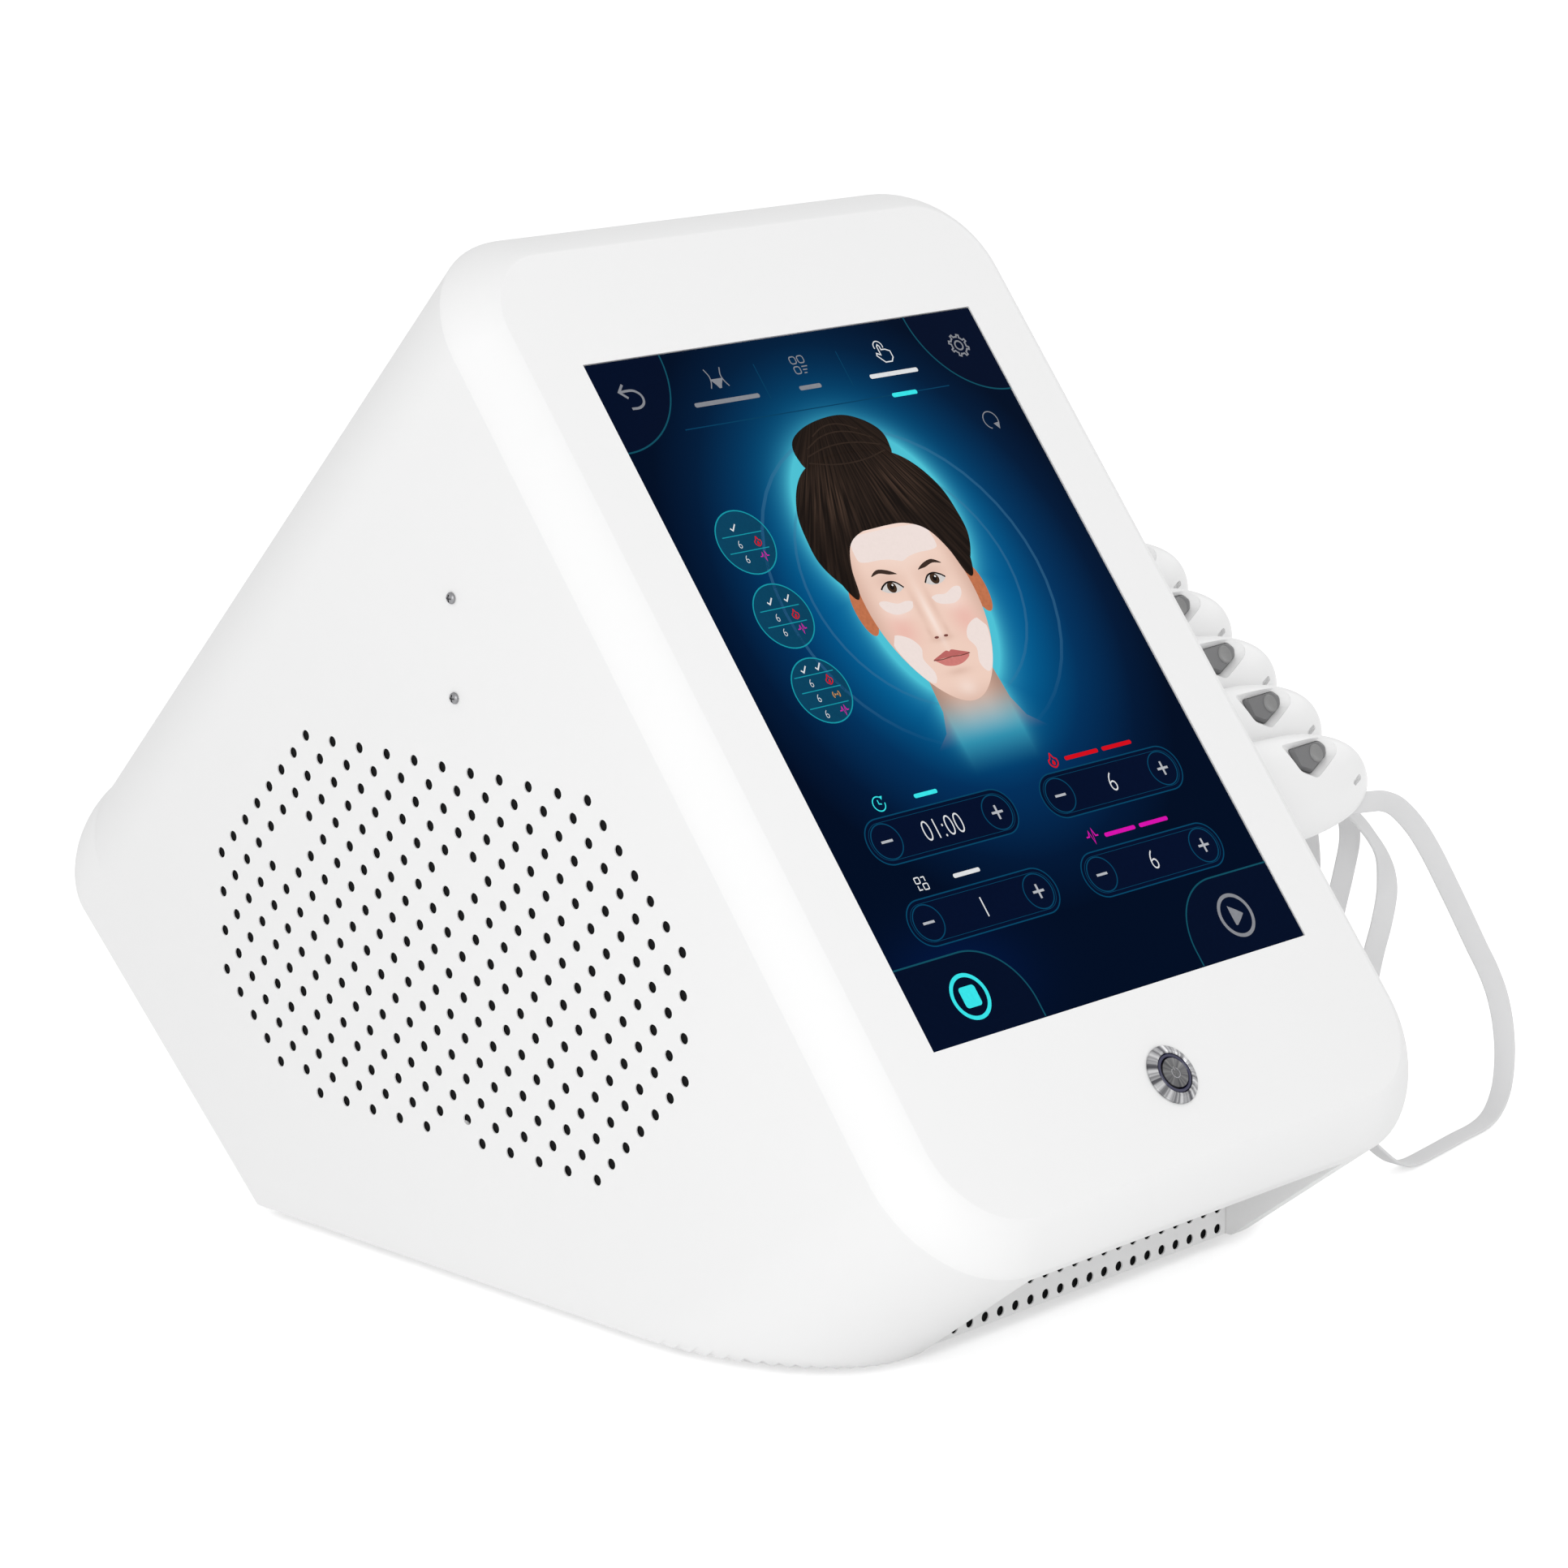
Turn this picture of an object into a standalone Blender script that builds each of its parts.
"""Face lifting massager: a desktop console with a sloped touch screen, and five applicator
clips on flat leads that park on a rack on its right side.

Metres, +Z up, the screen faces -Y and the clips are on +X. The origin is at the bottom centre
of the console with its clips. The pieces are laid out from the screen's centre: "ahead" is
level and towards the front, and the face frame has X to the right, Y up the slope of the
screen and Z out of the glass.
"""

import math

import bmesh
import bpy
from mathutils import Matrix, Vector
from mathutils.geometry import interpolate_bezier

# Clearances
FIT = 0.0003            # between two pieces that touch
SLIP = 0.0004           # round a piece that slides in another
OVERRUN = 0.004         # how far a cutter runs past what it cuts
MERGE = 0.00003         # points nearer than this are one
FLAT_ANGLE = math.radians(0.1)      # faces within this angle are one

# Housing
WIDTH = 0.310           # across the console
TILT = math.radians(37.35)      # of the screen, back from upright
SCREEN_HEIGHT = 0.2508  # screen centre above the housing's lower rim
FACE_ABOVE = 0.2200     # screen centre to the upper outer edge, along the slope
FACE_BELOW = 0.2405     # screen centre to the lower outer edge, along the slope
FACE_BEVEL = 0.0175     # width and depth of the soft bevel round the face
BEVEL_POWER = 1.55      # 1 is a round edge and 2 a plain chamfer
UPPER_RADIUS = 0.0490   # outer corners of the face
LOWER_RADIUS = 0.0545
BASE_BACK = 0.2630      # screen centre to the base's back edge, level
BACK_ANGLE = math.radians(46.0)     # of the long back slope, from level
TAIL_ANGLE = math.radians(44.0)     # of the short slope under it
BACK_RADIUS = 0.032     # of the back corner
TAIL_RADIUS = 0.014     # of the tail's upper corners, seen from behind
WALL = 0.004
CORNER_STEPS = 6
BEVEL_STEPS = 4
BACK_STEPS = 5

# Recess under the chin and its grille
POCKET_WIDTH = 0.1887
POCKET_FRONT = 0.0650   # the grille's face ahead of the screen's centre
POCKET_HEIGHT = 0.0440
GRILLE_THICKNESS = 0.0030
GRILLE_PITCH = 0.0089
GRILLE_HOLE = 0.0042
GRILLE_ROWS = 3
GRILLE_EDGE = 0.0034    # first row above the grille's lower edge

# Vent in the left side
VENT_PITCH = 0.017
VENT_HOLE = 0.0040
VENT_AHEAD = -0.1410
VENT_HEIGHT = 0.1360    # above the housing's lower rim
VENT_FRONT_LENGTH = 0.1445      # from its middle
VENT_BACK_LENGTH = 0.1360
VENT_HALF_HEIGHT = 0.0765
VENT_CORNER = 0.1700    # reach towards a corner: length and height added
VENT_UPPER_BACK_CORNER = 0.1530
HOLE_SIDES = 5

# Feet and base plate
FOOT_HEIGHT = 0.004
FOOT_DIAMETER = 0.022
FOOT_INSET = 0.036
FOOT_SIDES = 20
BASE_THICKNESS = 0.003
BASE_GAP = 0.0008       # between the base plate and the housing's walls
BASE_SCREW_INSET = 0.0075
BASE_SCREW_FROM_END = 0.075
BOARD_POST_DIAMETER = 0.008
BOARD_POST_HEIGHT = 0.010

# Screws
SCREW_HEAD = 0.0060
SCREW_HEAD_HEIGHT = 0.0020
SCREW_SHANK = 0.0030
SCREW_HOLE = 0.0036
SCREW_LENGTH = 0.010
BOSS_DIAMETER = 0.009
BOSS_LENGTH = 0.020
SCREW_SIDES = 8
BOSS_SIDES = 10

# Screen
SCREEN_WIDTH = 0.2205
SCREEN_LENGTH = 0.3030
GLASS_THICKNESS = 0.0035
GLASS_SUNK = 0.0004
PANEL_THICKNESS = 0.0095
PANEL_SIDE_BORDER = 0.011
PANEL_END_BORDER = 0.014
BAR_WIDTH = 0.016
BAR_THICKNESS = 0.002
BAR_FROM_END = 0.070
BAR_POST_GAP = 0.008    # panel's edge to the posts' middle

# Power switch
SWITCH_PANEL_GAP = 0.0090       # display panel's end to the switch's nut
SWITCH_BEZEL = 0.0249
SWITCH_BEZEL_HEIGHT = 0.0024
SWITCH_SLOPE = 0.0016   # fall of the bezel's bevel
SWITCH_FLAT = 0.0194    # flat top inside the bezel's bevel
SWITCH_BARREL = 0.0215
SWITCH_LENGTH = 0.030
SWITCH_RING = 0.0164    # outside of the dark light ring
SWITCH_RING_HEIGHT = 0.006
SWITCH_CAP = 0.0129
SWITCH_CAP_LENGTH = 0.010
SWITCH_CAP_PROUD = 0.0004
SWITCH_TRAVEL = 0.0025
SWITCH_SIDES = 24
NUT_DIAMETER = 0.029
NUT_HEIGHT = 0.004

# Side screws and the bracket behind them
SIDE_SCREW_AHEAD = -0.1231
SIDE_SCREW_HEIGHT = 0.2619      # middle of the two, above the housing's lower rim
SIDE_SCREW_SPACING = 0.0401
SIDE_SCREW_HEAD = 0.0048
BRACKET_WIDTH = 0.030
BRACKET_MARGIN = 0.012
BRACKET_ARM = 0.050
BRACKET_THICKNESS = 0.003

# Fan
FAN_SIZE = 0.120
FAN_DEPTH = 0.025
FAN_SCREW_SPACING = 0.105
FAN_AHEAD = -0.1790
FAN_HEIGHT = 0.1139
FAN_PAD = 0.003         # moulded pads between the wall and the fan
FAN_BORE = 0.114
FAN_HUB = 0.040
FAN_HUB_DEPTH = 0.018
FAN_PLATE = 0.003       # the frame's middle plate and its arms
FAN_ARM = 0.006
FAN_BLADES = 7
FAN_BLADE_ANGLE = math.radians(40.0)
FAN_BLADE_CHORD = 0.020
FAN_BLADE_THICKNESS = 0.0016
FAN_TIP_GAP = 0.002
FAN_SIDES = 24

# Electronics
SUPPLY = Vector((0.085, 0.150, 0.038))
SUPPLY_AT = Vector((0.075, -0.150))      # across and ahead
CONTROL_BOARD = Vector((0.120, 0.130, 0.0016))
CONTROL_AT = Vector((-0.060, -0.060))
BOARD_CHIP = Vector((0.034, 0.030, 0.007))
BOARD_POST_INSET = 0.008
OUTPUT_BOARD = Vector((0.120, 0.060, 0.0016))

# Mains inlet in the tail
INLET_ACROSS = 0.070
INLET_UP_TAIL = 0.060   # its middle above the tail's lower edge, along the tail
INLET_WIDTH = 0.032
INLET_LENGTH = 0.050
INLET_FLANGE = 0.003
INLET_RIM = 0.003       # the flange's overlap round the opening
INLET_DEPTH = 0.028
SOCKET_WIDTH = 0.0225
SOCKET_LENGTH = 0.0160
SOCKET_DEPTH = 0.016
SOCKET_UP = 0.0095
FUSE_WIDTH = 0.0205
FUSE_LENGTH = 0.0125
FUSE_DEPTH = 0.020
FUSE_DOWN = 0.0115
FUSE_GRIP = 0.0015

# Rack and clips on the right side
CLIPS = 5
CLIP_PITCH = 0.0311
ROW_ANGLE = math.radians(35.4)      # of the row of clips, down towards the front
ROW_AHEAD = -0.0278     # middle of the rack
ROW_HEIGHT = 0.2000     # middle of the rack above the housing's lower rim
RACK_WIDTH = 0.026
RACK_THICKNESS = 0.005
RACK_END = 0.013        # rack beyond the middle of an end clip
PEG_DIAMETER = 0.010
PEG_LENGTH = 0.012
CLIP_RAISE = 0.005      # clips' middle above the rack's, square to the row
CLIP_TURN = math.radians(55.0)      # of a clip on its peg, back from square to the row
CLIP_LENGTH = 0.072
CLIP_BREADTH = 0.0196
CLIP_DEEP = 0.0466
CLIP_STEPS = 7
CLIP_SIDES = 18
CLIP_NOSE = 2.5         # power of the clip's nose
CLIP_DROOP = 0.0015     # of the nose, along the clip's depth
WINDOW_LENGTH = 0.0250
WINDOW_BREADTH = 0.0125
WINDOW_DEPTH = 0.0080
WINDOW_BEVEL = 0.0035
WINDOW_BEVEL_DEPTH = 0.004
WINDOW_ALONG = 0.0316   # middle of the window from the rack
WINDOW_UP = 0.0108      # middle of the window above the clip's middle
WINDOW_OUT = 0.0077     # the clip's side at the window, from its middle
WINDOW_LEAN = math.radians(6.0)     # of the window's face, up from the clip's side
WINDOW_SIDES = 6
CONTACT_HEIGHT = 0.0050
CONTACT_DOME = 0.0020
SLOT_DIAMETER = 0.0030
SLOT_ALONG = 0.0660

# Flat leads and their outlet
LEAD_WIDTH = 0.0096
LEAD_THICKNESS = 0.0014
LEAD_STEPS = 2          # pieces of each stretch between two points of a route
LEAD_START = Vector((0.0499, -0.0034, -0.0124))     # floor of its slot from the clip's middle
LEAD_LEANS = (50.0, 45.0, 38.0, 37.0, 6.0)      # degrees down, where each leaves its clip
LEAD_SLOT = 0.034       # length of the cutter for a clip's lead slot
LEAD_STRAIGHT = 0.012   # straight stretch of a lead from its slot's floor
LEAD_TWIST = (0.35, 0.50)   # shares of a lead between which it turns level across
LEAD_FACING = Vector((-math.sqrt(0.5), -math.sqrt(0.5), 0))     # of its broad side till then
OUTLET_LENGTH = 0.128
OUTLET_HEIGHT = 0.018
OUTLET_THICKNESS = 0.004
OUTLET_AHEAD = -0.0150
OUTLET_UP = 0.058
OUTLET_RIM = 0.004
OUTLET_PITCH = 0.0240
OUTLET_STRAIGHT = 0.009 # straight stretch of a lead from its slot's floor

# Routes of the five leads after their straight start: across, back and up
LEAD_ROUTES = (
    ((0.2460, 0.0705, 0.1860), (0.2600, 0.0705, 0.1680), (0.2710, 0.0705, 0.1480),
     (0.2770, 0.0705, 0.1270), (0.2780, 0.0700, 0.1050), (0.2750, 0.0690, 0.0830),
     (0.2700, 0.0680, 0.0620), (0.2630, 0.0670, 0.0420), (0.2530, 0.0660, 0.0245),
     (0.2405, 0.0650, 0.0115), (0.2285, 0.0640, 0.0040)),
    ((0.2420, 0.0451, 0.1825), (0.2565, 0.0451, 0.1685), (0.2695, 0.0451, 0.1540),
     (0.2790, 0.0450, 0.1380), (0.2843, 0.0445, 0.1205), (0.2850, 0.0435, 0.1030),
     (0.2825, 0.0425, 0.0850), (0.2775, 0.0415, 0.0675), (0.2710, 0.0405, 0.0505),
     (0.2625, 0.0400, 0.0345), (0.2515, 0.0395, 0.0200), (0.2400, 0.0392, 0.0095),
     (0.2288, 0.0390, 0.0036)),
    ((0.2409, 0.0215, 0.1694), (0.2537, 0.0214, 0.1596), (0.2664, 0.0210, 0.1500),
     (0.2748, 0.0207, 0.1434), (0.2818, 0.0203, 0.1340), (0.2833, 0.0199, 0.1225),
     (0.2790, 0.0194, 0.1095), (0.2730, 0.0188, 0.0955), (0.2665, 0.0180, 0.0810),
     (0.2610, 0.0173, 0.0665), (0.2562, 0.0166, 0.0530), (0.2517, 0.0160, 0.0395),
     (0.2466, 0.0155, 0.0260), (0.2390, 0.0152, 0.0133), (0.2285, 0.0150, 0.0046)),
    ((0.2400, -0.0040, 0.1552), (0.2530, -0.0045, 0.1445), (0.2650, -0.0052, 0.1330),
     (0.2742, -0.0056, 0.1200), (0.2777, -0.0058, 0.1060), (0.2740, -0.0062, 0.0915),
     (0.2675, -0.0067, 0.0775), (0.2620, -0.0072, 0.0630), (0.2570, -0.0078, 0.0485),
     (0.2522, -0.0083, 0.0350), (0.2468, -0.0087, 0.0230), (0.2390, -0.0089, 0.0120),
     (0.2285, -0.0090, 0.0044)),
    ((0.2435, -0.0293, 0.1556), (0.2533, -0.0296, 0.1510), (0.2652, -0.0302, 0.1404),
     (0.2756, -0.0310, 0.1273), (0.2868, -0.0320, 0.1103), (0.2962, -0.0330, 0.0953),
     (0.3064, -0.0344, 0.0781), (0.3142, -0.0356, 0.0651), (0.3195, -0.0370, 0.0525),
     (0.3218, -0.0388, 0.0385), (0.3205, -0.0410, 0.0245), (0.3145, -0.0440, 0.0120),
     (0.3035, -0.0475, 0.0042), (0.2890, -0.0510, 0.0017), (0.2680, -0.0540, 0.0016),
     (0.2460, -0.0575, 0.0016), (0.2250, -0.0605, 0.0020), (0.2115, -0.0620, 0.0060),
     (0.2020, -0.0600, 0.0135), (0.1960, -0.0550, 0.0215), (0.1930, -0.0480, 0.0292),
     (0.1918, -0.0415, 0.0370), (0.1899, -0.0372, 0.0463), (0.1843, -0.0347, 0.0545),
     (0.1761, -0.0334, 0.0601)),
)
# Rise of the first four leads from the table to the outlet: across and up
LEAD_RISE = ((0.2173, 0.0015), (0.2075, 0.0034), (0.1993, 0.0090), (0.1937, 0.0172),
             (0.1918, 0.0270), (0.1918, 0.0365), (0.1899, 0.0463), (0.1843, 0.0545),
             (0.1761, 0.0601))
LEADS_RISING = 4        # how many of the leads rise so

# Derived places
SCREEN_UP = FOOT_HEIGHT + SCREEN_HEIGHT
SWITCH_BELOW = SCREEN_LENGTH / 2 + PANEL_END_BORDER + SWITCH_PANEL_GAP + NUT_DIAMETER / 2
FACE = Matrix.Translation((0, 0, SCREEN_UP)) @ Matrix.Rotation(math.pi / 2 - TILT, 4, "X")
HALF = WIDTH / 2
ROW = Vector((0, -math.cos(ROW_ANGLE), -math.sin(ROW_ANGLE)))
ROW_UP = Vector((0, -math.sin(ROW_ANGLE), math.cos(ROW_ANGLE)))
HERE = Matrix.Identity(4)

for thing in list(bpy.data.objects):
    bpy.data.objects.remove(thing)
GROUPS = {}
for label in ("face_lifting_massager", "cutters"):
    GROUPS[label] = bpy.data.collections.new(label)
    bpy.context.scene.collection.children.link(GROUPS[label])
CONSOLE = bpy.data.objects.new("console", None)
GROUPS["face_lifting_massager"].objects.link(CONSOLE)


# Helpers

def finish(name, colour, roughness, metallic=0.0):
    """A plain material in the part's colour."""
    material = bpy.data.materials.new(name)
    material.use_nodes = True
    shader = material.node_tree.nodes["Principled BSDF"]
    shader.inputs["Base Color"].default_value = (*colour, 1.0)
    shader.inputs["Roughness"].default_value = roughness
    shader.inputs["Metallic"].default_value = metallic
    material.diffuse_color = (*colour, 1.0)
    return material


def place_object(name, mesh, group, place=HERE):
    """An object with a mesh, at its place in the console."""
    item = bpy.data.objects.new(name, mesh)
    GROUPS[group].objects.link(item)
    item.parent = CONSOLE
    item.matrix_local = place
    return item


def part(name, mesh, look, place=HERE):
    """A piece of the console, with its material."""
    item = place_object(name, mesh, "face_lifting_massager", place)
    mesh.materials.append(finish(name, *look))
    return item


def cutter(name, mesh, place=HERE):
    """A shape that only cuts, joins or clips another."""
    item = place_object(name, mesh, "cutters", place)
    item.hide_render = True
    item.display_type = "WIRE"
    return item


def boolean(item, other, operation="DIFFERENCE"):
    """Cut, join or clip an object by another."""
    step = item.modifiers.new(operation.lower(), "BOOLEAN")
    step.operation = operation
    step.solver = "EXACT"
    step.object = other


def cut(item, name, mesh, place=HERE):
    """Cut an object by a mesh."""
    boolean(item, cutter(name, mesh, place))


def fuse(item, name, mesh, place=HERE):
    """Join a mesh to an object."""
    boolean(item, cutter(name, mesh, place), "UNION")


def bevelled(item, width, steps=2, angle=math.radians(50.0)):
    """Round an object's sharp edges."""
    step = item.modifiers.new("rounded", "BEVEL")
    step.width = width
    step.segments = steps
    step.limit_method = "ANGLE"
    step.angle_limit = angle


def shade_round(item, angle=math.radians(35.0)):
    """Shade an object smooth, but for its sharp edges."""
    item.data.shade_smooth()
    item.data.set_sharp_from_angle(angle=angle)


def mesh_of(fill):
    """A mesh that a function fills through a bmesh."""
    form = bmesh.new()
    fill(form)
    bmesh.ops.recalc_face_normals(form, faces=form.faces)
    mesh = bpy.data.meshes.new("mesh")
    form.to_mesh(mesh)
    form.free()
    return mesh


def box(size, middle=(0, 0, 0)):
    """A box by its size and middle."""
    place = Matrix.Translation(middle) @ Matrix.Diagonal((*size, 1.0))
    return mesh_of(lambda form: bmesh.ops.create_cube(form, size=1.0, matrix=place))


def rods(spots, diameter, low, high, sides=BOSS_SIDES):
    """Upright round rods at several spots, between two heights."""
    def fill(form):
        for across, up in spots:
            place = Matrix.Translation((across, up, (low + high) / 2))
            bmesh.ops.create_cone(form, cap_ends=True, segments=sides, radius1=diameter / 2,
                                  radius2=diameter / 2, depth=high - low, matrix=place)
    return mesh_of(fill)


def boxes(rows):
    """Several boxes, each by its size and middle, in one mesh."""
    def fill(form):
        for size, middle in rows:
            place = Matrix.Translation(middle) @ Matrix.Diagonal((*size, 1.0))
            bmesh.ops.create_cube(form, size=1.0, matrix=place)
    return mesh_of(fill)


def turned(name, profile, look, place=HERE, sides=SCREW_SIDES, ring=False):
    """A turned piece: its profile, as radius and height, runs down its outer side."""
    count = len(profile)
    edges = [(i, i + 1) for i in range(count - 1)] + ([(count - 1, 0)] if ring else [])
    mesh = bpy.data.meshes.new("profile")
    mesh.from_pydata([(radius, 0, height) for radius, height in profile], edges, [])
    item = part(name, mesh, look, place)
    turn = item.modifiers.new("turned", "SCREW")
    turn.steps = sides
    turn.render_steps = sides
    turn.use_merge_vertices = True
    turn.merge_threshold = MERGE
    turn.use_smooth_shade = True
    return item


def screw(name, place, look, head=SCREW_HEAD, length=SCREW_LENGTH):
    """A pan-head screw: its head stands on the place's XY plane and its shank goes down."""
    edge = SCREW_HEAD_HEIGHT / 2
    profile = [(0, SCREW_HEAD_HEIGHT), (head / 2 - edge, SCREW_HEAD_HEIGHT), (head / 2, edge),
               (head / 2, FIT), (SCREW_SHANK / 2, FIT), (SCREW_SHANK / 2, -length), (0, -length)]
    return turned(name, profile, look, place)


def corners(half_x, half_y, middle=(0, 0)):
    """The four corners of a rectangle."""
    return [(middle[0] + i * half_x, middle[1] + j * half_y) for i in (-1, 1) for j in (-1, 1)]


def side_place(ahead, height, side):
    """A frame on a side wall: X level, Y up and Z away from the wall; side is 1 or -1."""
    turn = Matrix(((0, 0, side, 0), (side, 0, 0, 0), (0, 1, 0, 0), (0, 0, 0, 1)))
    return Matrix.Translation((side * HALF, -ahead, FOOT_HEIGHT + height)) @ turn


# Housing

def slope_and_depth(ahead, up):
    """A point's place along the screen's slope and behind its plane."""
    return Vector((up * math.cos(TILT) - ahead * math.sin(TILT),
                   -ahead * math.cos(TILT) - up * math.sin(TILT)))


def depth_at_rim(slope, rim):
    """Depth at which a line square to the screen meets the level of the rim."""
    return (slope * math.cos(TILT) - rim) / math.sin(TILT)


def back_profile(inset, rim):
    """The tail's lower corner, and the arc of the back corner, as slope and depth."""
    lean = BACK_ANGLE - TILT
    below = -SCREEN_HEIGHT - rim
    ahead = (inset + below * math.cos(TAIL_ANGLE)) / math.sin(TAIL_ANGLE) - BASE_BACK
    low = slope_and_depth(ahead, rim)
    top = Vector((FACE_ABOVE - inset / math.cos(lean), FACE_BEVEL))
    down_back = Vector((-math.sin(lean), math.cos(lean)))
    up_tail = Vector((math.sin(TILT + TAIL_ANGLE), math.cos(TILT + TAIL_ANGLE)))
    reach = (low - top).cross(up_tail) / down_back.cross(up_tail)
    corner = top + down_back * reach
    half = down_back.angle(up_tail) / 2
    radius = BACK_RADIUS - inset
    middle = corner - (down_back + up_tail).normalized() * radius / math.sin(half)
    start = corner - down_back * radius / math.tan(half)
    end = corner - up_tail * radius / math.tan(half)
    arc = []
    for step in range(BACK_STEPS + 1):
        arm = (start - middle).slerp(end - middle, step / BACK_STEPS)
        arc.append(middle + arm.normalized() * radius)
    return top, low, arc


def section(low, high, half, upper, lower, hidden):
    """One closed section of the housing; hidden is what the rim cuts off its lower corners."""
    height = (high - low).length
    along = (high - low) / height
    outline = []
    for step in range(CORNER_STEPS + 1):
        angle = math.pi / 2 * step / CORNER_STEPS
        lift = lower * (1 - math.cos(angle)) - hidden
        outline.append((half - lower + lower * math.sin(angle), max(lift, 0)))
    for step in range(CORNER_STEPS + 1):
        angle = math.pi / 2 * step / CORNER_STEPS
        outline.append((half - upper + upper * math.cos(angle),
                        height - upper + upper * math.sin(angle)))
    outline += [(-across, lift) for across, lift in reversed(outline)]
    points = []
    for across, lift in outline:
        slope, depth = low + along * lift
        points.append(FACE @ Vector((across, slope, -depth)))
    return points


def housing_sections(inset, rim):
    """The housing's sections from its face to its tail, drawn in by an inset."""
    bevel = FACE_BEVEL - (2 - math.sqrt(2)) * inset
    half = HALF - inset
    upper = UPPER_RADIUS - inset
    lower = LOWER_RADIUS - inset
    floor = inset - FACE_BELOW
    top, tail, arc = back_profile(inset, rim)
    lean = math.tan(BACK_ANGLE - TILT)
    sections = []
    for step in range(BEVEL_STEPS + 1):
        angle = math.pi / 2 * step / BEVEL_STEPS
        narrower = bevel * (1 - math.sin(angle) ** BEVEL_POWER)
        depth = inset + bevel * (1 - math.cos(angle) ** BEVEL_POWER)
        ceiling = top.x - (inset + bevel - FACE_BEVEL) * lean - narrower
        sections.append(section(Vector((floor + narrower, depth)), Vector((ceiling, depth)),
                                half - narrower, upper - narrower, lower - narrower, 0))
    for step in range(CORNER_STEPS + 1):
        angle = math.pi / 2 * step / CORNER_STEPS
        slope = floor + lower * (1 - math.cos(angle))
        depth = depth_at_rim(slope, rim)
        ceiling = top.x - (depth - FACE_BEVEL) * lean
        sections.append(section(Vector((slope, depth)), Vector((ceiling, depth)), half, upper,
                                lower, slope - floor))
    for step, high in enumerate(arc):
        share = step / BACK_STEPS
        corner = upper + (TAIL_RADIUS - UPPER_RADIUS) * share
        sections.append(section(tail, high, half, corner, lower, lower))
    return sections


def panel(form, corners, middle):
    """A face between two sections: whole where it is flat, or two triangles that bulge out."""
    a, b, c, d = corners
    outward = (c.co - a.co).cross(d.co - b.co).normalized()
    if outward.dot(a.co - middle) < 0:
        outward.negate()
    bulge = (a.co + c.co - b.co - d.co).dot(outward)
    if abs(bulge) < MERGE:
        form.faces.new(corners)
    elif bulge > 0:
        form.faces.new((a, b, c))
        form.faces.new((a, c, d))
    else:
        form.faces.new((a, b, d))
        form.faces.new((b, c, d))


def lofted(sections):
    """A closed mesh through sections of the same count, with its flat faces made whole."""
    def fill(form):
        rings = [[form.verts.new(point) for point in points] for points in sections]
        count = len(rings[0])
        for near, far in zip(rings, rings[1:]):
            middle = sum((vert.co for vert in near + far), Vector()) / (2 * count)
            for i in range(count):
                j = (i + 1) % count
                panel(form, (near[i], near[j], far[j], far[i]), middle)
        form.faces.new(rings[0])
        form.faces.new(rings[-1])
        bmesh.ops.remove_doubles(form, verts=form.verts, dist=MERGE)
        bmesh.ops.dissolve_limit(form, angle_limit=FLAT_ANGLE, verts=form.verts,
                                 edges=form.edges)
    return mesh_of(fill)


def pocket_box(margin, back):
    """The recess under the chin, grown by a margin, from a depth behind the grille's face."""
    low = -OVERRUN - margin
    front = FACE_BELOW
    size = (POCKET_WIDTH + 2 * margin, front + back, POCKET_HEIGHT + margin - low)
    middle = (0, -(POCKET_FRONT + (front - back) / 2), FOOT_HEIGHT + low + size[2] / 2)
    return box(size, middle)


def vent_spots():
    """Hole places of the side vent, from its middle: staggered rows within an octagon."""
    row_pitch = VENT_PITCH / 2
    rows = round(VENT_HALF_HEIGHT / row_pitch)
    back, front = round(VENT_BACK_LENGTH / row_pitch), round(VENT_FRONT_LENGTH / row_pitch)
    bolts = corners(FAN_SCREW_SPACING / 2, FAN_SCREW_SPACING / 2,
                    (FAN_AHEAD - VENT_AHEAD, FAN_HEIGHT - VENT_HEIGHT))
    clear = BOSS_DIAMETER / 2 + VENT_HOLE / 2 + FIT
    spots = []
    for row in range(-rows, rows + 1):
        up = row * row_pitch
        for column in range(-back, front + 1):
            if (column + row) % 2:
                continue
            ahead = column * row_pitch
            reach = abs(ahead) + abs(up)
            limit = VENT_UPPER_BACK_CORNER if ahead < 0 < up else VENT_CORNER
            near_bolt = any(math.hypot(ahead - x, up - y) < clear for x, y in bolts)
            if reach <= limit + FIT and not near_bolt:
                spots.append((ahead, up))
    return spots


def base_screw_spots():
    """Places of the screws that hold the base plate, across and ahead."""
    across = HALF - BASE_SCREW_INSET
    return [(side * across, ahead) for side in (-1, 1)
            for ahead in (POCKET_FRONT - BASE_SCREW_FROM_END,
                          BASE_SCREW_FROM_END - BASE_BACK)]


def panel_half():
    """Half of the display panel's width and length."""
    return (SCREEN_WIDTH / 2 + PANEL_SIDE_BORDER, SCREEN_LENGTH / 2 + PANEL_END_BORDER)


def bar_depth():
    """Depth of the front of the bars behind the display panel."""
    return WALL + FIT + PANEL_THICKNESS + FIT


def display_post_spots():
    """Places of the posts that carry the display's bars, in the face frame."""
    across, along = panel_half()
    return corners(across + BAR_POST_GAP, along - BAR_FROM_END)


def fan_place():
    """The fan's frame: Z out through the left wall, the origin on the wall's outer face."""
    return side_place(FAN_AHEAD, FAN_HEIGHT, -1)


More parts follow.
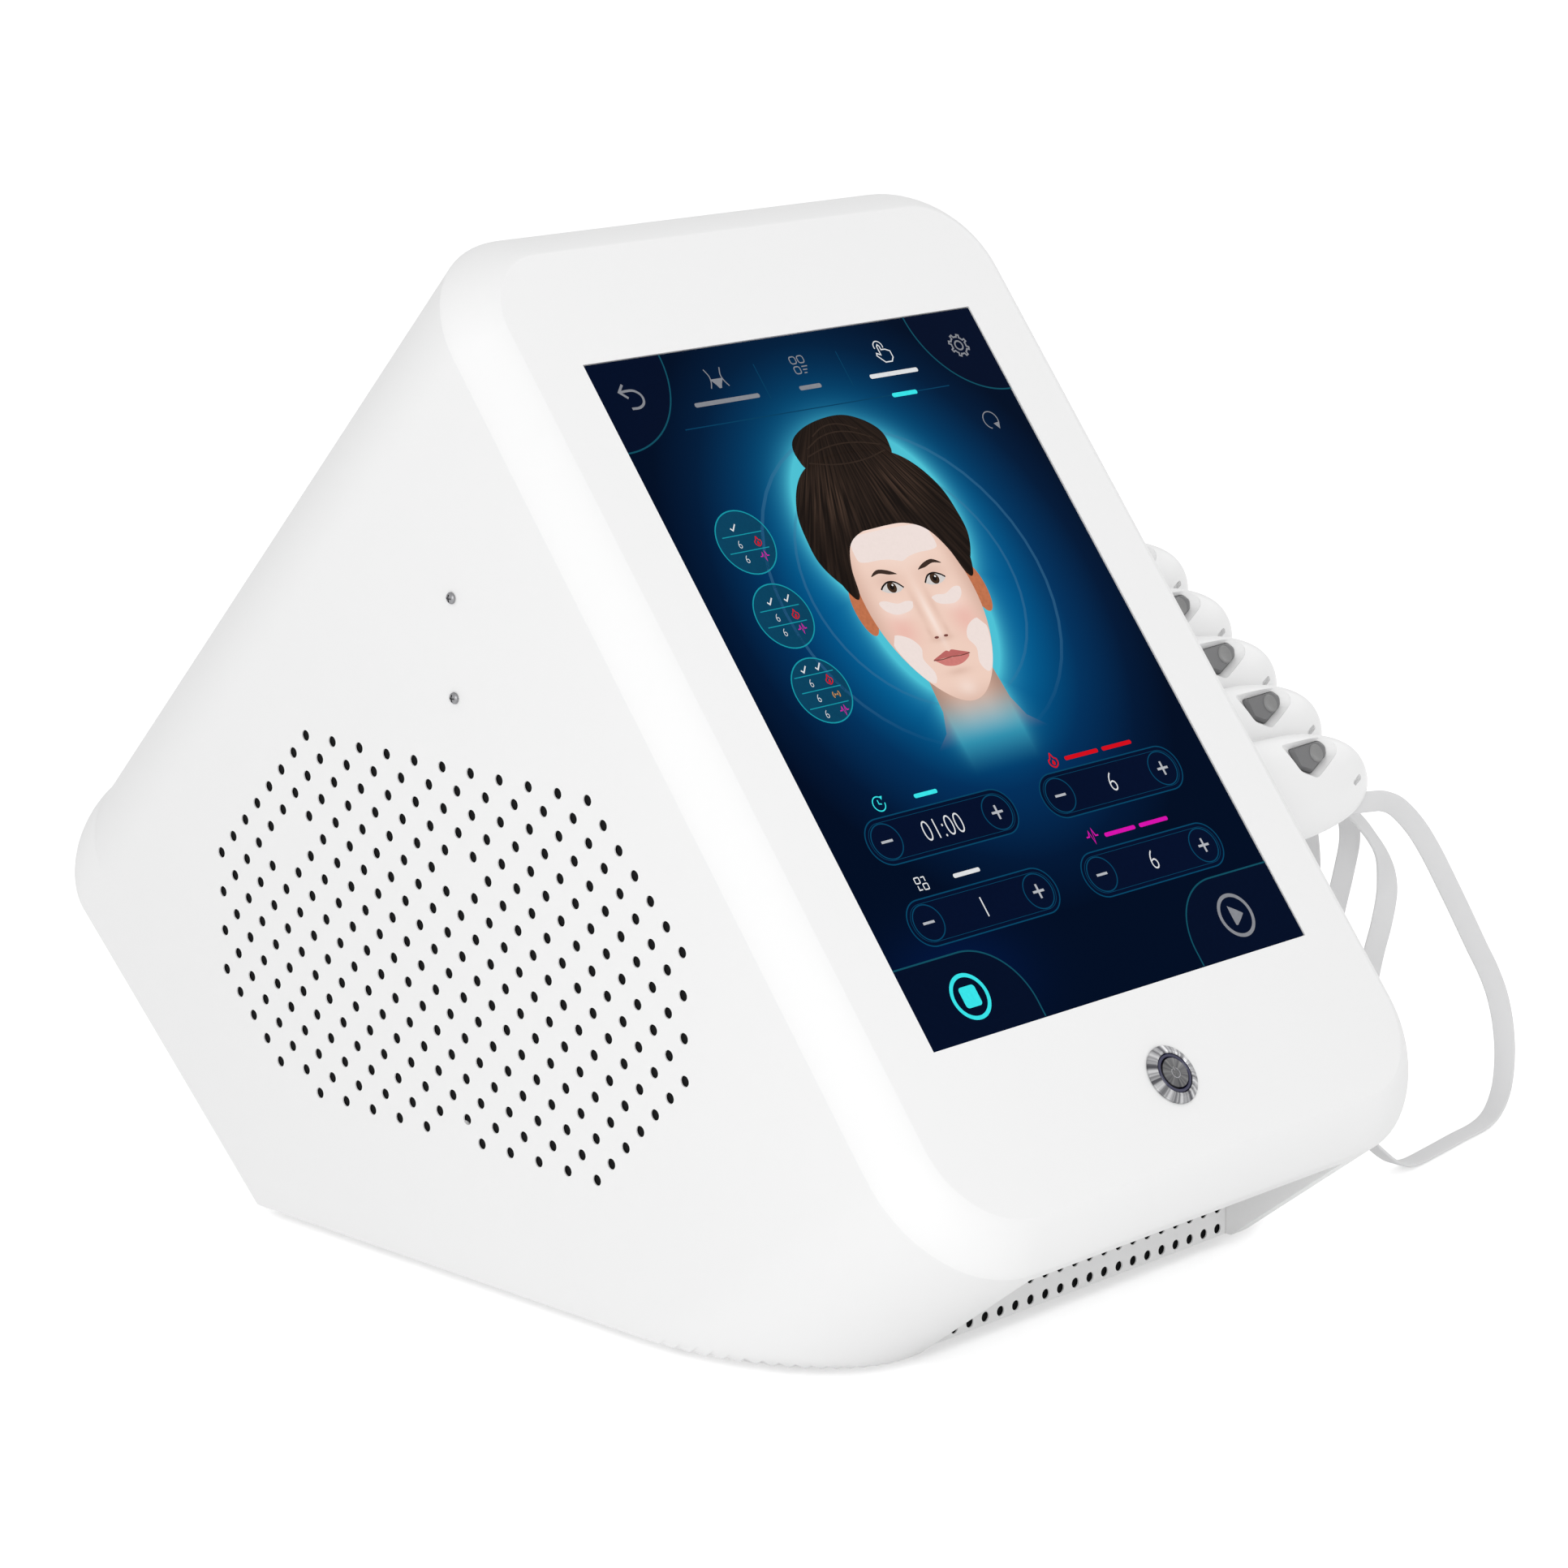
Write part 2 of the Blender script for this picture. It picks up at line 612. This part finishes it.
def tail_place():
    """The inlet's frame on the tail: Y up the tail and Z out of it."""
    up_tail = Vector((0, math.cos(TAIL_ANGLE), math.sin(TAIL_ANGLE)))
    outward = Vector((0, math.sin(TAIL_ANGLE), -math.cos(TAIL_ANGLE)))
    foot = Vector((INLET_ACROSS, BASE_BACK, FOOT_HEIGHT)) + up_tail * INLET_UP_TAIL
    turn = Matrix((Vector((-1, 0, 0)), up_tail, outward)).transposed().to_4x4()
    return Matrix.Translation(foot) @ turn


def rack_place():
    """The rack's frame on the right wall: X up the row, Y square to it and Z outwards."""
    turn = Matrix((-ROW, ROW_UP, Vector((1, 0, 0)))).transposed().to_4x4()
    return Matrix.Translation((HALF, -ROW_AHEAD, FOOT_HEIGHT + ROW_HEIGHT)) @ turn


def clip_offset(number):
    """How far up the row a clip's middle lies from the rack's middle."""
    return ((CLIPS - 1) / 2 - number) * CLIP_PITCH


def clip_place(number):
    """A clip's frame on the rack: Y up its depth, Z out of the wall."""
    seat = Vector((clip_offset(number), CLIP_RAISE, RACK_THICKNESS + 2 * FIT))
    return rack_place() @ Matrix.Translation(seat) @ Matrix.Rotation(-CLIP_TURN, 4, "Z")


def window_place():
    """A window's frame on its clip: Y out of the window, Z along the clip."""
    return (Matrix.Translation((-WINDOW_OUT, WINDOW_UP, WINDOW_ALONG))
            @ Matrix.Rotation(math.pi / 2 - WINDOW_LEAN, 4, "Z"))


def lead_exit(number):
    """The floor of a clip's lead slot: X across the lead, Z along it."""
    lean = math.radians(LEAD_LEANS[number])
    along = Vector((math.cos(lean), 0, -math.sin(lean)))
    across = LEAD_FACING.cross(along).normalized()
    turn = Matrix((across, along.cross(across), along)).transposed().to_4x4()
    return Matrix.Translation(clip_place(number).translation + LEAD_START) @ turn


def rack_screw_spots():
    """Places of the rack's two screws, between its clips."""
    return [(side * CLIP_PITCH * 1.5, 0) for side in (-1, 1)]


def outlet_place():
    """The leads' outlet on the right wall."""
    return side_place(OUTLET_AHEAD, OUTLET_UP, 1)


WHITE = ((0.88, 0.88, 0.88), 0.42)
BLACK = ((0.02, 0.02, 0.022), 0.5)
STEEL = ((0.62, 0.62, 0.64), 0.28, 1.0)


def make_housing():
    """The one-piece moulded shell with its openings, bosses and pads."""
    rim = -SCREEN_HEIGHT
    shell = part("housing", lofted(housing_sections(0, rim)), WHITE)
    cavity = cutter("housing_cavity", lofted(housing_sections(WALL, rim - OVERRUN)))
    cut(cavity, "pocket_walls", pocket_box(WALL, WALL))
    boolean(shell, cavity)
    cut(shell, "pocket", pocket_box(0, WALL + OVERRUN))

    posts = rods(display_post_spots(), BOSS_DIAMETER, -(bar_depth() - FIT), -WALL / 2)
    fuse(shell, "display_posts", posts, FACE)
    pads = rods(corners(FAN_SCREW_SPACING / 2, FAN_SCREW_SPACING / 2), BOSS_DIAMETER,
                -WALL - FAN_PAD, -WALL / 2)
    fuse(shell, "fan_pads", pads, fan_place())
    spots = [(across, -ahead) for across, ahead in base_screw_spots()]
    foot = FOOT_HEIGHT + BASE_THICKNESS + FIT
    fuse(shell, "base_bosses", rods(spots, BOSS_DIAMETER, foot, foot + BOSS_LENGTH))

    pilot = SCREW_SHANK + 2 * FIT
    depth = SCREW_LENGTH + FIT
    cut(shell, "base_pilots", rods(spots, pilot, foot - OVERRUN, FOOT_HEIGHT + depth))
    bars_back = bar_depth() + BAR_THICKNESS
    cut(shell, "display_pilots",
        rods(display_post_spots(), pilot, -bars_back, depth - bars_back), FACE)
    window = box((SCREEN_WIDTH + 2 * SLIP, SCREEN_LENGTH + 2 * SLIP, 2 * OVERRUN + WALL))
    cut(shell, "screen_window", window, FACE)
    bore = rods([(0, -SWITCH_BELOW)], SWITCH_BARREL + 2 * FIT, -WALL - OVERRUN, OVERRUN,
                SWITCH_SIDES)
    cut(shell, "switch_bore", bore, FACE)
    left = side_place(VENT_AHEAD, VENT_HEIGHT, -1)
    cut(shell, "vent", rods(vent_spots(), VENT_HOLE, -WALL - FAN_PAD / 2, OVERRUN, HOLE_SIDES),
        left)
    side_spots = [(0, SIDE_SCREW_SPACING / 2), (0, -SIDE_SCREW_SPACING / 2)]
    cut(shell, "fan_pilots", rods(corners(FAN_SCREW_SPACING / 2, FAN_SCREW_SPACING / 2), pilot,
                                  -WALL - FAN_PAD - OVERRUN, -WALL - FIT), fan_place())
    cut(shell, "side_screw_holes", rods(side_spots, SCREW_HOLE, -WALL - OVERRUN, OVERRUN),
        side_place(SIDE_SCREW_AHEAD, SIDE_SCREW_HEIGHT, -1))
    hole = box((INLET_WIDTH - 2 * INLET_RIM + 2 * FIT, INLET_LENGTH - 2 * INLET_RIM + 2 * FIT,
                2 * (WALL + OVERRUN)))
    cut(shell, "inlet_hole", hole, tail_place())
    cut(shell, "rack_screw_holes", rods(rack_screw_spots(), pilot, -WALL - OVERRUN, OVERRUN),
        rack_place())
    plug = outlet_plug_size()
    hole = box((plug[0] + 2 * FIT, plug[1] + 2 * FIT, 2 * (WALL + OVERRUN)))
    cut(shell, "outlet_hole", hole, outlet_place())
    shade_round(shell)


def make_base():
    """The base plate with its board posts, and its screws and feet."""
    plate = part("base_plate", box((2 * WIDTH, 2 * (BASE_BACK + FACE_BELOW), BASE_THICKNESS),
                                   (0, 0, FOOT_HEIGHT + BASE_THICKNESS / 2)), WHITE)
    rim = -SCREEN_HEIGHT - OVERRUN
    boolean(plate, cutter("base_outline", lofted(housing_sections(WALL + BASE_GAP, rim))),
            "INTERSECT")
    cut(plate, "base_front", pocket_box(WALL + BASE_GAP, WALL + BASE_GAP))
    top = FOOT_HEIGHT + BASE_THICKNESS
    posts = board_post_spots()
    fuse(plate, "board_posts", rods(posts, BOARD_POST_DIAMETER, top - BASE_THICKNESS / 2,
                                    top + BOARD_POST_HEIGHT))
    spots = [(across, -ahead) for across, ahead in base_screw_spots()]
    cut(plate, "base_screw_holes", rods(spots, SCREW_HOLE, 0, top + OVERRUN))
    flip = Matrix.Rotation(math.pi, 4, "X")
    for number, (across, back) in enumerate(spots, 1):
        place = Matrix.Translation((across, back, FOOT_HEIGHT)) @ flip
        screw(f"base_screw_{number}", place, STEEL)
    radius = FOOT_DIAMETER / 2
    high = FOOT_HEIGHT - FIT
    profile = [(0, high), (radius, high), (radius - FOOT_HEIGHT / 4, 0), (0, 0)]
    length = BASE_BACK + POCKET_FRONT
    spots = corners(HALF - FOOT_INSET, length / 2 - FOOT_INSET, (0, BASE_BACK - length / 2))
    for number, (across, back) in enumerate(spots, 1):
        turned(f"foot_{number}", profile, ((0.06, 0.06, 0.06), 0.9),
               Matrix.Translation((across, back, 0)), FOOT_SIDES)


def board_post_spots():
    """Places of the posts under the control board, across and back."""
    half = (CONTROL_BOARD.x / 2 - BOARD_POST_INSET, CONTROL_BOARD.y / 2 - BOARD_POST_INSET)
    return corners(*half, (CONTROL_AT.x, -CONTROL_AT.y))


def make_grille():
    """The perforated panel at the back of the recess under the chin."""
    width = POCKET_WIDTH - 2 * FIT
    height = POCKET_HEIGHT - FIT
    middle = (0, height / 2, -GRILLE_THICKNESS / 2)
    turn = Matrix.Rotation(math.pi / 2, 4, "X")
    place = Matrix.Translation((0, -POCKET_FRONT, FOOT_HEIGHT)) @ turn
    panel = part("front_grille", box((width, height, GRILLE_THICKNESS), middle), WHITE, place)
    columns = int((width - 2 * GRILLE_EDGE) / GRILLE_PITCH) + 1
    first = -(columns - 1) * GRILLE_PITCH / 2
    spots = [(first + i * GRILLE_PITCH, GRILLE_EDGE + j * GRILLE_PITCH)
             for j in range(GRILLE_ROWS) for i in range(columns)]
    cut(panel, "grille_holes", rods(spots, GRILLE_HOLE, -GRILLE_THICKNESS - OVERRUN, OVERRUN,
                                    HOLE_SIDES))


def make_screen():
    """The touch glass, the display panel behind it and the two bars that hold it."""
    low = GLASS_SUNK + GLASS_THICKNESS
    glass = part("touch_glass", box((SCREEN_WIDTH, SCREEN_LENGTH, GLASS_THICKNESS),
                                    (0, 0, GLASS_THICKNESS / 2 - low)),
                 ((0.004, 0.016, 0.06), 0.08), FACE)
    bevelled(glass, GLASS_SUNK, 1)
    across, along = panel_half()
    part("display_panel", box((2 * across, 2 * along, PANEL_THICKNESS),
                              (0, 0, -(WALL + FIT + PANEL_THICKNESS / 2))),
         ((0.35, 0.36, 0.38), 0.4, 1.0), FACE)
    names = ("lower", "upper")
    for side, name in zip((-1, 1), names):
        up = side * (along - BAR_FROM_END)
        size = (2 * (across + BAR_POST_GAP) + BOSS_DIAMETER, BAR_WIDTH, BAR_THICKNESS)
        bar = part(f"display_bar_{name}", box(size, (0, up, -bar_depth() - BAR_THICKNESS / 2)),
                   STEEL, FACE)
        spots = [spot for spot in display_post_spots() if spot[1] * side > 0]
        cut(bar, f"display_bar_{name}_holes",
            rods(spots, SCREW_HOLE, -bar_depth() - BAR_THICKNESS - OVERRUN, 0), FACE)
    flip = Matrix.Rotation(math.pi, 4, "X")
    for number, (x, y) in enumerate(display_post_spots(), 1):
        place = FACE @ Matrix.Translation((x, y, -bar_depth() - BAR_THICKNESS)) @ flip
        screw(f"display_screw_{number}", place, STEEL)


def make_switch():
    """The push switch under the screen: bezel, light ring, cap and nut."""
    place = FACE @ Matrix.Translation((0, -SWITCH_BELOW, 0))
    high = SWITCH_BEZEL_HEIGHT
    bore = SWITCH_RING / 2 + FIT
    seat = high - SWITCH_RING_HEIGHT - FIT
    cap_bore = SWITCH_CAP / 2 + SLIP
    well = high + SWITCH_CAP_PROUD - SWITCH_CAP_LENGTH - SWITCH_TRAVEL - SLIP
    barrel = SWITCH_BARREL / 2
    profile = [(0, well), (cap_bore, well), (cap_bore, seat), (bore, seat), (bore, high),
               (SWITCH_FLAT / 2, high), (SWITCH_BEZEL / 2, high - SWITCH_SLOPE),
               (SWITCH_BEZEL / 2, FIT), (barrel, FIT), (barrel, -SWITCH_LENGTH),
               (0, -SWITCH_LENGTH)]
    turned("switch_bezel", profile, STEEL, place, SWITCH_SIDES)
    ring = [(cap_bore, high), (SWITCH_RING / 2, high), (SWITCH_RING / 2, seat + FIT),
            (cap_bore, seat + FIT)]
    turned("switch_light_ring", ring, ((0.01, 0.012, 0.05), 0.3), place, SWITCH_SIDES, ring=True)
    top = high + SWITCH_CAP_PROUD
    low = top - SWITCH_CAP_LENGTH
    radius = SWITCH_CAP / 2
    cap = [(0, top), (radius - SWITCH_CAP_PROUD, top), (radius, high), (radius, low), (0, low)]
    turned("switch_cap", cap, STEEL, place, SWITCH_SIDES)
    thread = barrel + FIT
    nut_top = -WALL - FIT
    nut = [(thread, nut_top), (NUT_DIAMETER / 2, nut_top), (NUT_DIAMETER / 2, nut_top - NUT_HEIGHT),
           (thread, nut_top - NUT_HEIGHT)]
    turned("switch_nut", nut, STEEL, place, SWITCH_SIDES, ring=True)


def make_side_bracket():
    """The bracket inside the left wall and the two screws that hold it from outside."""
    place = side_place(SIDE_SCREW_AHEAD, SIDE_SCREW_HEIGHT, -1)
    height = SIDE_SCREW_SPACING + 2 * BRACKET_MARGIN
    inner = -WALL - FIT
    plate_middle = (0, 0, inner - BRACKET_THICKNESS / 2)
    arm_middle = (0, -height / 2 + BRACKET_THICKNESS / 2, inner - BRACKET_ARM / 2)
    bracket = part("side_bracket", box((BRACKET_WIDTH, height, BRACKET_THICKNESS),
                                       plate_middle), STEEL, place)
    fuse(bracket, "side_bracket_arm", box((BRACKET_WIDTH, BRACKET_THICKNESS, BRACKET_ARM),
                                          arm_middle), place)
    spots = [(0, SIDE_SCREW_SPACING / 2), (0, -SIDE_SCREW_SPACING / 2)]
    cut(bracket, "side_bracket_holes",
        rods(spots, SCREW_SHANK + 2 * FIT, inner - BRACKET_THICKNESS - OVERRUN, 0), place)
    for name, (x, y) in zip(("upper", "lower"), spots):
        screw(f"side_screw_{name}", place @ Matrix.Translation((x, y, 0)), STEEL,
              SIDE_SCREW_HEAD)
    board_low = arm_middle[1] + BRACKET_THICKNESS / 2 + FIT
    size = (BRACKET_WIDTH, BOARD_CHIP.z, BRACKET_ARM / 2)
    part("status_relay", box(size, (0, board_low + size[1] / 2, inner - BRACKET_ARM / 2 - FIT)),
         ((0.02, 0.05, 0.12), 0.5), place)


def make_fan():
    """The fan's frame with its motor plate, its rotor and its four screws."""
    place = fan_place()
    near = -WALL - FAN_PAD - FIT
    far = near - FAN_DEPTH
    frame = part("fan_frame", box((FAN_SIZE, FAN_SIZE, FAN_DEPTH), (0, 0, (near + far) / 2)),
                 BLACK, place)
    bevelled(frame, FAN_DEPTH / 8, 1)
    cut(frame, "fan_bore", rods([(0, 0)], FAN_BORE, far - OVERRUN, near + OVERRUN, FAN_SIDES),
        place)
    reach = FAN_SIZE - FAN_PLATE
    middle = (0, 0, far + FAN_PLATE / 2 + FIT)
    fuse(frame, "fan_arm_level", box((reach, FAN_ARM, FAN_PLATE), middle), place)
    fuse(frame, "fan_arm_upright", box((FAN_ARM, reach, FAN_PLATE - FIT), middle), place)
    plate_top = far + FAN_PLATE + 2 * FIT
    fuse(frame, "fan_plate", rods([(0, 0)], FAN_HUB, far, plate_top, FAN_SIDES), place)
    spots = corners(FAN_SCREW_SPACING / 2, FAN_SCREW_SPACING / 2)
    cut(frame, "fan_screw_holes", rods(spots, SCREW_HOLE, far - OVERRUN, near + OVERRUN), place)

    hub_low = plate_top + FIT
    middle = hub_low + FAN_HUB_DEPTH / 2
    spin = place @ Matrix.Translation((0, 0, middle))
    hub = rods([(0, 0)], FAN_HUB, -FAN_HUB_DEPTH / 2, FAN_HUB_DEPTH / 2, FAN_SIDES)
    rotor = part("fan_rotor", hub, BLACK, spin)
    reach = FAN_BORE / 2 - FAN_TIP_GAP
    root = FAN_HUB / 4

    def blades(form):
        for number in range(FAN_BLADES):
            turn = (Matrix.Rotation(math.tau * number / FAN_BLADES, 4, "Z")
                    @ Matrix.Translation(((root + reach) / 2, 0, 0))
                    @ Matrix.Rotation(FAN_BLADE_ANGLE, 4, "X")
                    @ Matrix.Diagonal((reach - root, FAN_BLADE_CHORD, FAN_BLADE_THICKNESS, 1.0)))
            bmesh.ops.create_cube(form, size=1.0, matrix=turn)
    fuse(rotor, "fan_blades", mesh_of(blades), spin)
    flip = Matrix.Rotation(math.pi, 4, "X")
    for number, (x, y) in enumerate(spots, 1):
        screw(f"fan_screw_{number}", place @ Matrix.Translation((x, y, far)) @ flip, STEEL,
              length=FAN_DEPTH + FAN_PAD - FIT)


def make_electronics():
    """The power supply, the control board and the output board behind the outlet."""
    top = FOOT_HEIGHT + BASE_THICKNESS + FIT
    at = (SUPPLY_AT.x, -SUPPLY_AT.y, top + SUPPLY.z / 2)
    supply = part("power_supply", box(SUPPLY, at), ((0.55, 0.56, 0.57), 0.35, 1.0))
    bevelled(supply, BASE_THICKNESS / 2, 1)
    low = FOOT_HEIGHT + BASE_THICKNESS + BOARD_POST_HEIGHT + FIT
    at = Vector((CONTROL_AT.x, -CONTROL_AT.y, low + CONTROL_BOARD.z / 2))
    board = part("control_board", box(CONTROL_BOARD, at), ((0.01, 0.12, 0.05), 0.4))
    lift = CONTROL_BOARD.z / 2 + BOARD_CHIP.z / 2 - FIT
    rows = [(BOARD_CHIP, at + Vector((side * BOARD_CHIP.x, 0, lift))) for side in (-1, 1)]
    fuse(board, "control_chips", boxes(rows))
    plug = outlet_plug_size()
    depth = plug[2] + FIT + OUTPUT_BOARD.z / 2
    part("output_board", box(OUTPUT_BOARD, (0, 0, -depth)), ((0.01, 0.12, 0.05), 0.4),
         outlet_place())


def make_inlet():
    """The mains inlet with the well for its plug, and its fuse drawer."""
    place = tail_place()
    inlet = part("inlet_socket", box((INLET_WIDTH, INLET_LENGTH, INLET_FLANGE),
                                     (0, 0, FIT + INLET_FLANGE / 2)), BLACK, place)
    bevelled(inlet, INLET_FLANGE / 3, 1)
    body = (INLET_WIDTH - 2 * INLET_RIM, INLET_LENGTH - 2 * INLET_RIM, INLET_DEPTH)
    fuse(inlet, "inlet_body", box(body, (0, 0, INLET_FLANGE / 2 - INLET_DEPTH / 2)), place)
    top = INLET_FLANGE + FIT
    cut(inlet, "inlet_well", box((SOCKET_WIDTH, SOCKET_LENGTH, SOCKET_DEPTH + OVERRUN),
                                 (0, SOCKET_UP, top + (OVERRUN - SOCKET_DEPTH) / 2)), place)
    cut(inlet, "fuse_well", box((FUSE_WIDTH + 2 * SLIP, FUSE_LENGTH + 2 * SLIP,
                                 FUSE_DEPTH + SLIP + OVERRUN),
                                (0, -FUSE_DOWN, top + (OVERRUN - FUSE_DEPTH - SLIP) / 2)), place)
    drawer = part("fuse_drawer", box((FUSE_WIDTH, FUSE_LENGTH, FUSE_DEPTH),
                                     (0, -FUSE_DOWN, top - FUSE_DEPTH / 2)), BLACK, place)
    fuse(drawer, "fuse_grip", box((FUSE_WIDTH / 2, FUSE_GRIP, 2 * FUSE_GRIP),
                                  (0, -FUSE_DOWN, top)), place)


def make_rack():
    """The rack that the clips park on, with one peg for each, and its screws."""
    place = rack_place()
    length = (CLIPS - 1) * CLIP_PITCH + 2 * RACK_END
    rack = part("clip_rack", box((length, RACK_WIDTH, RACK_THICKNESS),
                                 (0, 0, FIT + RACK_THICKNESS / 2)), WHITE, place)
    bevelled(rack, RACK_THICKNESS / 4, 1)
    spots = [(clip_offset(number), CLIP_RAISE) for number in range(CLIPS)]
    top = FIT + RACK_THICKNESS
    fuse(rack, "rack_pegs", rods(spots, PEG_DIAMETER, top - RACK_THICKNESS / 2,
                                 top + PEG_LENGTH), place)
    cut(rack, "rack_holes", rods(rack_screw_spots(), SCREW_HOLE, -OVERRUN, top + OVERRUN),
        place)
    cut(rack, "rack_head_wells", rods(rack_screw_spots(), SCREW_HEAD + 2 * SLIP,
                                      top - SCREW_HEAD_HEIGHT - SLIP, top + OVERRUN), place)
    for number, (x, y) in enumerate(rack_screw_spots(), 1):
        spot = place @ Matrix.Translation((x, y, top - SCREW_HEAD_HEIGHT - SLIP))
        screw(f"rack_screw_{number}", spot, STEEL)


def clip_mesh():
    """A clip's flat egg-shaped body: its back on XY, its nose along Z, its broad sides on X."""
    sections = []
    for step in range(CLIP_STEPS + 1):
        share = math.sin(math.pi / 2 * step / CLIP_STEPS)
        girth = max(1 - share ** CLIP_NOSE, 0) ** (1 / CLIP_NOSE)
        points = []
        for side in range(CLIP_SIDES):
            turn = math.tau * side / CLIP_SIDES
            points.append(Vector((CLIP_BREADTH / 2 * girth * math.cos(turn),
                                  CLIP_DEEP / 2 * girth * math.sin(turn)
                                  - CLIP_DROOP * share ** 2, CLIP_LENGTH * share)))
        sections.append(points)
    return lofted(sections)


def window_ring(grown, height):
    """The six corners of a window, grown by a margin, at a height along Y."""
    ring = []
    for side in range(WINDOW_SIDES):
        turn = math.tau * side / WINDOW_SIDES
        ring.append(Vector(((WINDOW_BREADTH / 2 + grown) * math.sin(turn), height,
                            (WINDOW_LENGTH / 2 + grown) * math.cos(turn))))
    return ring


def make_clips():
    """The five applicator clips, each with its contact block and a slot for its lead."""
    body = clip_mesh()
    flare = WINDOW_BEVEL * (WINDOW_BEVEL_DEPTH + OVERRUN) / WINDOW_BEVEL_DEPTH
    opening = lofted([window_ring(0, -WINDOW_DEPTH), window_ring(0, -WINDOW_BEVEL_DEPTH),
                      window_ring(flare, OVERRUN)])
    block = lofted([window_ring(-SLIP, FIT - WINDOW_DEPTH),
                    window_ring(-SLIP, CONTACT_HEIGHT - WINDOW_DEPTH)])
    for number in range(CLIPS):
        name = f"clip_{number + 1}"
        place = clip_place(number)
        clip = part(name, body.copy(), WHITE, place)
        cut(clip, f"{name}_socket", rods([(0, 0)], PEG_DIAMETER + 2 * SLIP, -OVERRUN,
                                         PEG_LENGTH + SLIP), place)
        window = place @ window_place()
        cut(clip, f"{name}_window", opening.copy(), window)
        slot = place @ Matrix.Translation((-CLIP_BREADTH / 4, 0, SLOT_ALONG))
        turn = Matrix.Rotation(math.pi / 2, 4, "Y")
        cut(clip, f"{name}_slot", rods([(0, 0)], SLOT_DIAMETER, -CLIP_BREADTH / 2, 0), slot @ turn)
        slot = box((LEAD_WIDTH + 2 * SLIP, LEAD_THICKNESS + 2 * SLIP, LEAD_SLOT),
                   (0, 0, LEAD_SLOT / 2))
        cut(clip, f"{name}_lead_slot", slot, lead_exit(number))
        shade_round(clip)
        contact = part(f"contact_{number + 1}", block.copy(), ((0.32, 0.32, 0.33), 0.45), window)
        bevelled(contact, CONTACT_DOME, 1)


def outlet_plug_size():
    """The outlet's part that goes through the wall: its length, height and depth."""
    return (OUTLET_LENGTH - 2 * OUTLET_RIM, OUTLET_HEIGHT - 2 * OUTLET_RIM, WALL + OVERRUN)


def make_outlet():
    """The plate where the five leads leave the housing."""
    place = outlet_place()
    outlet = part("lead_outlet", box((OUTLET_LENGTH, OUTLET_HEIGHT, OUTLET_THICKNESS),
                                     (0, 0, FIT + OUTLET_THICKNESS / 2)), WHITE, place)
    bevelled(outlet, OUTLET_THICKNESS / 4, 1)
    length, height, depth = outlet_plug_size()
    size = (length, height, depth + OUTLET_THICKNESS / 2)
    fuse(outlet, "outlet_plug", box(size, (0, 0, (OUTLET_THICKNESS / 2 - depth) / 2)), place)
    rows = [((LEAD_WIDTH + 2 * SLIP, LEAD_THICKNESS + 2 * SLIP, OUTLET_THICKNESS),
             (lead_slot_across(number), 0, OUTLET_THICKNESS)) for number in range(CLIPS)]
    cut(outlet, "lead_slots", boxes(rows), place)


def lead_slot_across(number):
    """A lead's place along the outlet, in the outlet's frame."""
    return (number - (CLIPS - 1) / 2) * -OUTLET_PITCH


def smooth_path(points):
    """Points along a smooth curve through the points of a route."""
    padded = [2 * points[0] - points[1], *points, 2 * points[-1] - points[-2]]
    path = []
    for before, near, far, after in zip(padded, padded[1:], padded[2:], padded[3:]):
        pull = (far - before) / 6
        push = (after - near) / 6
        path += interpolate_bezier(near, near + pull, far - push, far, LEAD_STEPS + 1)[:-1]
    return path + [points[-1]]


def lead_path(number):
    """A lead's whole centreline, from its clip to the outlet."""
    start = lead_exit(number)
    end = outlet_place() @ Matrix.Translation((lead_slot_across(number), 0,
                                               OUTLET_THICKNESS / 2))
    first = [start @ Vector((0, 0, reach)) for reach in (FIT, LEAD_STRAIGHT, 2 * LEAD_STRAIGHT)]
    last = [end @ Vector((0, 0, reach)) for reach in (OUTLET_STRAIGHT, OUTLET_THICKNESS, FIT)]
    route = [Vector(spot) for spot in LEAD_ROUTES[number]]
    if number < LEADS_RISING:
        route += [Vector((across, end.translation.y, up)) for across, up in LEAD_RISE]
    return smooth_path(first + route + last)


def make_leads():
    """The five flat leads, each from its clip down to the table and back to the outlet."""
    level = Vector((0, -1, 0))
    start, end = LEAD_TWIST
    for number in range(CLIPS):
        path = lead_path(number)
        sections = []
        for step, point in enumerate(path):
            before, after = path[max(step - 1, 0)], path[min(step + 1, len(path) - 1)]
            along = (after - before).normalized()
            share = min(max((step / (len(path) - 1) - start) / (end - start), 0), 1)
            across = LEAD_FACING.cross(along).normalized().lerp(level, share)
            across = (across - along * across.dot(along)).normalized()
            normal = along.cross(across)
            sections.append([point + across * LEAD_WIDTH / 2 * i + normal * LEAD_THICKNESS / 2 * j
                             for i, j in ((-1, -1), (1, -1), (1, 1), (-1, 1))])
        part(f"lead_{number + 1}", lofted(sections), ((0.86, 0.86, 0.87), 0.5))


def move_origin():
    """Move the console so that the middle of its base, with its clips, is the origin."""
    outline = [point for ring in housing_sections(0, -SCREEN_HEIGHT) for point in ring]
    front, back = min(point.y for point in outline), max(point.y for point in outline)
    left = -HALF - SCREW_HEAD_HEIGHT
    right = (clip_place(0) @ Vector((0, 0, CLIP_LENGTH))).x
    CONSOLE.location = (-(left + right) / 2, -(front + back) / 2, 0)


make_housing()
make_base()
make_grille()
make_screen()
make_switch()
make_side_bracket()
make_fan()
make_electronics()
make_inlet()
make_rack()
make_clips()
make_outlet()
make_leads()
move_origin()
